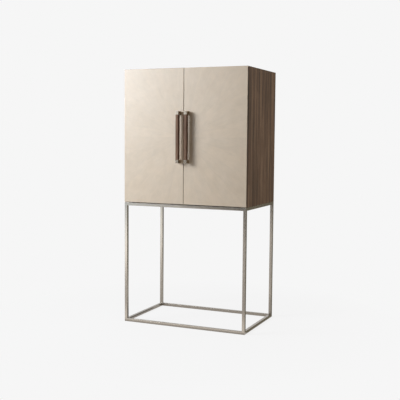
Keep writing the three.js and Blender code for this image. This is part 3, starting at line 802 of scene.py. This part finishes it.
def build_handle(side):
    body = f"{side}_door"
    node = f"handle_grip_{side}"
    low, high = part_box(node)
    grip = block(node + "_shaped", low, high)
    work_on(grip, "EDGE")
    pick(grip, "EDGE", lambda edge: runs_along(edge, Z) and edge_middle(edge).y < low.y + TINY)
    ease(GRIP_CHAMFER, segments=1)
    pick(grip, "EDGE", is_sharp)
    ease(GRIP_EASING)
    set_down()
    hand_over(grip, body, [grip_walnut], [node])

    door_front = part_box(f"door_facing_{side}")[0].y
    for place in ("lower", "upper"):
        node = f"handle_post_{place}_{side}"
        low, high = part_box(node)
        post = block(node + "_shaped", low, (high.x, door_front, high.z))
        work_on(post, "EDGE")
        pick(post, "EDGE", is_sharp)
        ease(POST_ROUNDING, segments=3)
        set_down()
        hand_over(post, body, [handle_nickel], [node])


# Screws: one head with a cross recess, modelled at the origin, then copied to each place
HEAD_RADIUS = 2.5 * MM
HEAD_HEIGHT = 0.7 * MM
HEAD_RIM = 0.35 * MM
HEAD_RISE = 0.08 * MM
HEAD_SUNK = 0.12 * MM
RECESS_REACH, RECESS_HALF_WIDTH, RECESS_DEPTH = 1.5 * MM, 0.32 * MM, 0.5 * MM
HOLE_PLAY, HOLE_DEPTH = 0.15 * MM, 0.75 * MM


def model_screw_head():
    head = rod("screw_head", HEAD_RADIUS, (0, 0, -HEAD_HEIGHT), 0, SMALL_ROD_SIDES)
    work_on(head)
    pick(head, "FACE", lambda face: face.normal.z > SQUARE_ON)
    bpy.ops.mesh.inset(thickness=HEAD_RIM, depth=0)
    bpy.ops.transform.translate(value=(0, 0, HEAD_RISE))
    set_down()
    for x, y in ((RECESS_REACH, RECESS_HALF_WIDTH), (RECESS_HALF_WIDTH, RECESS_REACH)):
        cut_away(head, block("slot", (-x, -y, -RECESS_DEPTH), (x, y, MM)))
    return head


def screw_down(plate, place, outward, body, finish):
    """Cuts a round seat in the plate, and sets a screw head in it, just under the surface."""
    place, outward = Vector(place), Vector(outward)
    turn = UP.rotation_difference(outward).to_matrix().to_4x4()
    seat = rod("seat", HEAD_RADIUS + HOLE_PLAY, (0, 0, -HOLE_DEPTH), MM, SMALL_ROD_SIDES)
    cut_away(plate, turned(seat, Matrix.Translation(place) @ turn))
    sunk = Matrix.Translation(place - outward * (HEAD_SUNK + HEAD_RISE)) @ turn
    screw = bpy.data.objects.new(f"screw_{len(screws) + 1:02d}", screw_head.data.copy())
    bpy.context.scene.collection.objects.link(screw)
    turned(screw, sunk)
    hand_over(screw, body, [finish])
    screws.append(screw)


def screw_nickel(plate, place, outward, body="cabinet"):
    screw_down(plate, place, outward, body, nickel["Y"])


# Small fittings: the nodes' own shapes with their edges broken
SLOT_FINISHES = {
    "nickel": nickel["Y"],
    "brass": brass,
    "dark_steel": dark_steel,
    "clear_glass": clear_glass,
}
PIN_EASING, BUSH_EASING, BOLT_EASING = 0.2 * MM, 0.15 * MM, 0.4 * MM
GLASS_EASING, RACK_EASING, HINGE_EASING = 0.8 * MM, 0.5 * MM, 0.2 * MM
PLATE_EASING, STRIKE_EASING = 0.25 * MM, 0.3 * MM


def shape_fitting(node, width, segments=2):
    piece = copied_from(node, node + "_finished")
    pick(piece, "EDGE", is_sharp)
    ease(width, segments)
    set_down()
    return piece


def hand_over_fitting(piece, node):
    slot = nodes[node].material_slots[0].material.name.split(".")[0]
    hand_over(piece, nodes[node]["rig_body"], [SLOT_FINISHES[slot]], [node])


def build_plain_fitting(node, width):
    hand_over_fitting(shape_fitting(node, width), node)


def build_plain_fittings():
    for end in ENDS:
        for wall in ("outer", "inner"):
            build_plain_fitting(f"shelf_pin_{wall}_{end}", PIN_EASING)
        for side in SIDES:
            build_plain_fitting(f"carcass_bolt_{end}_{side}", BOLT_EASING)
    for side in SIDES:
        build_plain_fitting(f"shelf_hinge_pin_{side}", PIN_EASING)
        for end in ("top", "bottom"):
            build_plain_fitting(f"pivot_bush_{end}_{side}", BUSH_EASING)


def build_glass_shelf():
    """Plate glass with ground and polished edges."""
    shelf = shape_fitting("glass_shelf", GLASS_EASING, segments=3)
    finish_faces(shelf, lambda face: 0 if square_to(face, Z) else 1)
    hand_over(shelf, "cabinet", [clear_glass, glass_edge], ["glass_shelf"])


# The rack's lengths, as its solid has them, and how far its screws are from its ends
RACK_PLATE = 4 * MM
RACK_FLANGE_WIDTH = 62 * MM
RACK_HANGERS = 4
RACK_SCREW_INSET = 30 * MM


def build_stemware_rack():
    """Screws go up through the plate, in the outer two of the three ways between the hangers."""
    node = "stemware_rack"
    rack = shape_fitting(node, RACK_EASING)
    low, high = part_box(node)
    underside = high.z - RACK_PLATE
    half_pitch = (high.x - low.x - RACK_FLANGE_WIDTH) / (RACK_HANGERS - 1) / 2
    inset = RACK_FLANGE_WIDTH / 2 + half_pitch
    for x in (low.x + inset, high.x - inset):
        for y in (low.y + RACK_SCREW_INSET, high.y - RACK_SCREW_INSET):
            screw_nickel(rack, (x, y, underside), DOWN)
    hand_over_fitting(rack, node)


HINGE_SCREW_INSET = 9 * MM


def build_shelf_hinges():
    """A barrel hinge at each side, its fixed leaf on the counter and its moving one on the leaf."""
    counter_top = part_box("counter_shelf")[1].z
    leaf_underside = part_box("fold_out_shelf")[0].z
    parts = (("fixed", "cabinet", counter_top, UP), ("moving", "leaf", leaf_underside, DOWN))
    for side in SIDES:
        for part, body, level, outward in parts:
            node = f"shelf_hinge_{part}_{side}"
            hinge = shape_fitting(node, HINGE_EASING)
            low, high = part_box(node)
            for x in (low.x + HINGE_SCREW_INSET, high.x - HINGE_SCREW_INSET):
                place = (x, high.y - HINGE_SCREW_INSET, level)
                screw_down(hinge, place, outward, body, brass)
            hand_over_fitting(hinge, node)


# Screws in the pivot plates: from the back end of the top one, and from the inner end of the
# bottom one, which is this thick under its pin
TOP_PLATE_SCREWS = (9 * MM, 24 * MM)
BOTTOM_PLATE_SCREWS = (6 * MM, 16 * MM)
PIVOT_PLATE = 2.5 * MM


def build_pivot_plates():
    for side, sign in SIDE_SIGNS:
        node = f"pivot_plate_top_{side}"
        plate = shape_fitting(node, PLATE_EASING)
        low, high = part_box(node)
        for inset in TOP_PLATE_SCREWS:
            screw_nickel(plate, ((low.x + high.x) / 2, high.y - inset, high.z), UP)
        hand_over_fitting(plate, node)

        node = f"pivot_plate_bottom_{side}"
        plate = shape_fitting(node, PLATE_EASING)
        low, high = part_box(node)
        inner = low.x if sign > 0 else high.x
        for inset in BOTTOM_PLATE_SCREWS:
            place = (inner + sign * inset, (low.y + high.y) / 2, low.z + PIVOT_PLATE)
            screw_nickel(plate, place, UP)
        hand_over_fitting(plate, node)


CATCH_FRAME, PAD_GROOVE, PAD_SUNK = 2.5 * MM, 0.3 * MM, 0.6 * MM
CATCH_EASING = 0.8 * MM
CATCH_SHORTEST_EDGE = 13.5 * MM
CATCH_SCREW_INSET, CATCH_SCREW_SETBACK = 6 * MM, 3 * MM


def build_catch():
    """A double magnetic catch: two pads in the front of one housing, and a strike on each door."""
    node = "magnetic_catch"
    low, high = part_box(node)
    catch = block(node + "_finished", low, high)
    work_on(catch)
    bpy.ops.mesh.select_all(action="SELECT")
    bpy.ops.mesh.bisect(plane_co=(0, 0, 0), plane_no=(1, 0, 0))
    pick(catch, "FACE", lambda face: face.normal.y < -SQUARE_ON)
    bpy.ops.mesh.inset(thickness=CATCH_FRAME, depth=0, use_individual=True)
    bpy.ops.mesh.inset(thickness=PAD_GROOVE, depth=-PAD_SUNK, use_individual=True)

    def on_housing(edge):
        long = edge.calc_length() > CATCH_SHORTEST_EDGE
        return long and is_sharp(edge) and on_rim(edge, low, high)

    pick(catch, "EDGE", on_housing)
    ease(CATCH_EASING)
    set_down()
    for x in (low.x + CATCH_SCREW_INSET, high.x - CATCH_SCREW_INSET):
        screw_nickel(catch, (x, (low.y + high.y) / 2 + CATCH_SCREW_SETBACK, low.z), DOWN)
    hand_over(catch, "cabinet", [dark_steel], [node])

    for side in SIDES:
        node = f"strike_plate_{side}"
        strike = shape_fitting(node, STRIKE_EASING)
        low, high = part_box(node)
        place = ((low.x + high.x) / 2, high.y, (low.z + high.z) / 2)
        screw_nickel(strike, place, BACKWARD, f"{side}_door")
        hand_over_fitting(strike, node)


def on_rim(edge, low, high):
    """True for an edge that lies on two outer faces of a box."""
    at = edge_middle(edge)
    on_faces = [abs(at[axis] - side[axis]) < TINY for axis in (X, Y, Z) for side in (low, high)]
    return sum(on_faces) == 2


BUMPER_RADIUS, BUMPER_ROUNDING, BUMPER_PLAY = 4 * MM, 1.2 * MM, 0.5 * MM
BUMPER_FROM_MIDDLE, BUMPER_FROM_DOOR_TOP = 70 * MM, 8 * MM


def build_bumpers():
    """Soft clear dots on the doors' backs, that meet the carcass's front edges."""
    for side, sign in SIDE_SIGNS:
        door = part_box(f"door_{side}")[1]
        for place, board in (("lower", "bottom_panel"), ("upper", "top_panel")):
            low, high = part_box(board)
            level = (low.z + high.z) / 2
            if place == "upper":
                level = min(level, door.z - BUMPER_FROM_DOOR_TOP)
            thick = low.y - door.y - BUMPER_PLAY
            dot = rod(f"bumper_{place}_{side}", BUMPER_RADIUS, (0, 0, 0), thick, SMALL_ROD_SIDES)
            work_on(dot, "EDGE")
            pick(dot, "EDGE", lambda edge: edge_middle(edge).z > MM and not runs_along(edge, Z))
            ease(BUMPER_ROUNDING, segments=3)
            set_down()
            at = Matrix.Translation((sign * BUMPER_FROM_MIDDLE, door.y, level))
            turned(dot, at @ Matrix.Rotation(-math.pi / 2, 4, "X"))
            hand_over(dot, f"{side}_door", [soft_clear])


BATTEN_THICKNESS, BATTEN_LAP, BATTEN_PLAY, BATTEN_EASING = 4 * MM, 12 * MM, 0.2 * MM, 0.6 * MM
BATTEN_SCREWS = (-0.36, -0.18, 0, 0.18, 0.36)


def build_batten():
    """A walnut strip in darker tones, screwed under the bottom panel in the slit behind the front
    rail: painted shade, to darken the gap under the doors.
    """
    board_low, board_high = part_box("bottom_panel")
    rail_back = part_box("top_rail_front")[1].y
    end = board_high.x - BATTEN_PLAY
    low = Vector((-end, rail_back + BATTEN_PLAY, board_low.z - BATTEN_THICKNESS))
    high = Vector((end, board_low.y + BATTEN_LAP, board_low.z))
    batten = block("shade_line_batten", low, high)
    work_on(batten, "EDGE")
    pick(batten, "EDGE", lambda edge: is_sharp(edge) and edge_middle(edge).z < high.z - TINY)
    ease(BATTEN_EASING)
    set_down()
    finish_faces(batten, lambda face: int(square_to(face, X)))
    for x in BATTEN_SCREWS:
        place = (x, (low.y + high.y) / 2, low.z)
        screw_down(batten, place, DOWN, "cabinet", dark_steel)
    hand_over(batten, "cabinet", [shade_line_walnut, walnut_deep])


build_stand()
screw_head = model_screw_head()
screws = []
build_boards()
for side in SIDES:
    build_facing(side)
    build_handle(side)
build_plain_fittings()
build_glass_shelf()
build_stemware_rack()
build_shelf_hinges()
build_pivot_plates()
build_catch()
build_bumpers()
build_batten()
bpy.data.objects.remove(screw_head)


# Room: a pale floor that runs into the background, and soft light
BACKGROUND = linear(246, 246, 246)
FILL = (1.0, 0.87, 0.75, 1)
FILL_LEVEL = 0.122
FLOOR_SIZE = 60
FLOOR_BOUNCE = (0.8, 0.8, 0.8, 1)
FLOOR_WHITE = (0.86, 0.86, 0.86, 1)
# How much of the floor's own light and shade shows near the object, and within which distances
SHADOW_SHARE = 0.15
SHADOW_NEAR, SHADOW_FAR = 0.5, 1.4
FLOOR_LIFT = 0.42


def seen_directly(bench):
    """One where a ray comes from the camera, or by way of metal or glass."""
    path = bench.put("LightPath").outputs
    seen = bench.reckon("MAXIMUM", path["Is Camera Ray"], path["Is Glossy Ray"])
    return bench.reckon("MAXIMUM", seen, path["Is Transmission Ray"])


def build_floor():
    drop_selection()
    bpy.ops.mesh.primitive_plane_add(size=FLOOR_SIZE, location=(0, 0, 0))
    floor = bpy.context.object
    floor.name = "floor"
    finish, bench = empty_finish("floor")
    pale = bench.put("BsdfDiffuse", {"Color": FLOOR_BOUNCE}).outputs[0]
    level = bench.put("Emission", {"Color": BACKGROUND, "Strength": 1.0}).outputs[0]
    white = bench.put("BsdfDiffuse", {"Color": FLOOR_WHITE}).outputs[0]
    lift = bench.put("Emission", {"Color": BACKGROUND, "Strength": FLOOR_LIFT}).outputs[0]
    lit = bench.put("AddShader", {0: white, 1: lift}).outputs[0]
    where = bench.put("TexCoord").outputs["Object"]
    reach = bench.put("VectorMath", {0: where}, operation="LENGTH").outputs["Value"]
    near = bench.spread(reach, SHADOW_FAR, SHADOW_NEAR, 0.0, SHADOW_SHARE)
    shown = bench.put("MixShader", {0: near, 1: level, 2: lit}).outputs[0]
    both = bench.put("MixShader", {0: seen_directly(bench), 1: pale, 2: shown}).outputs[0]
    bench.put("OutputMaterial", {"Surface": both})
    floor.data.materials.append(finish)


def build_world():
    world = bpy.data.worlds.new("room")
    bpy.context.scene.world = world
    world.use_nodes = True
    world.node_tree.nodes.clear()
    bench = Bench(world.node_tree)
    fill = bench.put("Background", {"Color": FILL, "Strength": FILL_LEVEL}).outputs[0]
    plain = bench.put("Background", {"Color": BACKGROUND, "Strength": 1.0}).outputs[0]
    both = bench.put("MixShader", {0: seen_directly(bench), 1: fill, 2: plain}).outputs[0]
    bench.put("OutputWorld", {"Surface": both})


def softbox(name, place, aim, size, power, color=(1, 1, 1), spread=180):
    drop_selection()
    bpy.ops.object.light_add(type="AREA", location=place)
    lamp = bpy.context.object
    lamp.name = name
    lamp.data.shape = "RECTANGLE"
    lamp.data.size, lamp.data.size_y = size
    lamp.data.energy = power
    lamp.data.color = color
    lamp.data.spread = math.radians(spread)
    way = Vector(aim) - Vector(place)
    lamp.rotation_euler = way.to_track_quat("-Z", "Y").to_euler()


def build_card(name, place, aim, size, level, tint=(1, 1, 1)):
    """A dark or light card that only metal and polish see: it shapes their reflections."""
    drop_selection()
    way = Vector(aim) - Vector(place)
    facing = way.to_track_quat("Z", "Y").to_euler()
    bpy.ops.mesh.primitive_plane_add(size=1, location=place, rotation=facing)
    card = bpy.context.object
    card.name = name
    card.scale = (*size, 1)
    bpy.ops.object.transform_apply(location=True, rotation=True, scale=True)
    finish, bench = empty_finish(name)
    glow = bench.put("Emission", {"Color": (*tint, 1), "Strength": level}).outputs[0]
    bench.put("OutputMaterial", {"Surface": glow})
    card.data.materials.append(finish)
    card.visible_camera = card.visible_diffuse = False
    card.visible_shadow = card.visible_transmission = False


ABOVE_FLOOR = 0.004


def build_floor_card(name, x, y, size, level, tint=(1, 1, 1)):
    """A card just above the floor, face up."""
    build_card(name, (x, y, ABOVE_FLOOR), (x, y, 1.0), size, level, tint)


# Camera, fitted to the photo's straight edges: where it stands, how it is turned in degrees, and
# its focal length in pixels of a frame this wide
EYE = (2.0101, -4.5772, 1.2204)
YAW, PITCH, ROLL = 23.64, -4.76, 0.45
FOCAL_PIXELS, FRAME_PIXELS = 757.24, 400
SENSOR_WIDTH = 36


def build_camera():
    yaw, pitch, roll = math.radians(YAW), math.radians(PITCH), math.radians(ROLL)
    level = math.cos(pitch)
    ahead = Vector((-math.sin(yaw) * level, math.cos(yaw) * level, math.sin(pitch)))
    across = Vector((math.cos(yaw), math.sin(yaw), 0))
    upward = across.cross(ahead)
    turned_across = across * math.cos(roll) + upward * math.sin(roll)
    turned_up = upward * math.cos(roll) - across * math.sin(roll)
    facing = Matrix((turned_across, turned_up, -ahead)).transposed()
    data = bpy.data.cameras.new("camera")
    camera = bpy.data.objects.new("camera", data)
    bpy.context.scene.collection.objects.link(camera)
    camera.matrix_world = Matrix.Translation(EYE) @ facing.to_4x4()
    data.sensor_width = SENSOR_WIDTH
    data.lens = FOCAL_PIXELS / FRAME_PIXELS * SENSOR_WIDTH
    data.clip_start, data.clip_end = 0.05, 200
    bpy.context.scene.camera = camera


COOL_LAMP, WARM_LAMP = (0.935, 1.0, 1.085), (1.0, 0.96, 0.93)
COOL, WARM = (0.84, 1.0, 1.15), (1.06, 1.0, 0.78)

build_camera()
build_floor()
build_world()
# Lamps: name, place, aim, size and power, then for some a colour and a spread in degrees
softbox("key", (-2.48, -2.12, 2.28), (-0.42, -0.25, 1.5), (1.4, 1.4), 44.8, COOL_LAMP, 114)
softbox("low_strip", (-1.3, -2.2, 0.2), (-0.2, -0.2, 0.1), (1.7, 0.4), 2.4, spread=120)
softbox("side_fill", (3.2, 0.9, 1.9), (0.42, 0.03, 1.3), (1.6, 1.6), 34.8, WARM_LAMP)
# Cards: name, place, aim, size and level, then for some a tint
build_card("front_card", (-0.5, -3.1, 0.75), (0.0, -0.3, 0.9), (1.6, 1.3), 0.09)
build_card("left_card", (-2.2, -2.95, 0.4), (-0.4, -0.3, 0.6), (1.3, 0.6), 1.7, COOL)
build_card("high_card", (-2.2, -2.9, 1.65), (-0.3, -0.3, 1.2), (1.7, 1.2), 2.9, COOL)
build_card("far_card", (1.7, 3.5, 1.4), (0.2, 0, 1.0), (3.6, 3.2), 0.27, WARM)
build_floor_card("low_card", 2.15, 1.8, (3.5, 4.0), 0.3, WARM)
build_floor_card("inner_card", -0.26, -0.03, (0.26, 0.4), 0.25)
build_floor_card("base_card", 0, -0.435, (1.4, 0.32), 1.7)
bpy.context.scene.view_settings.view_transform = "Standard"
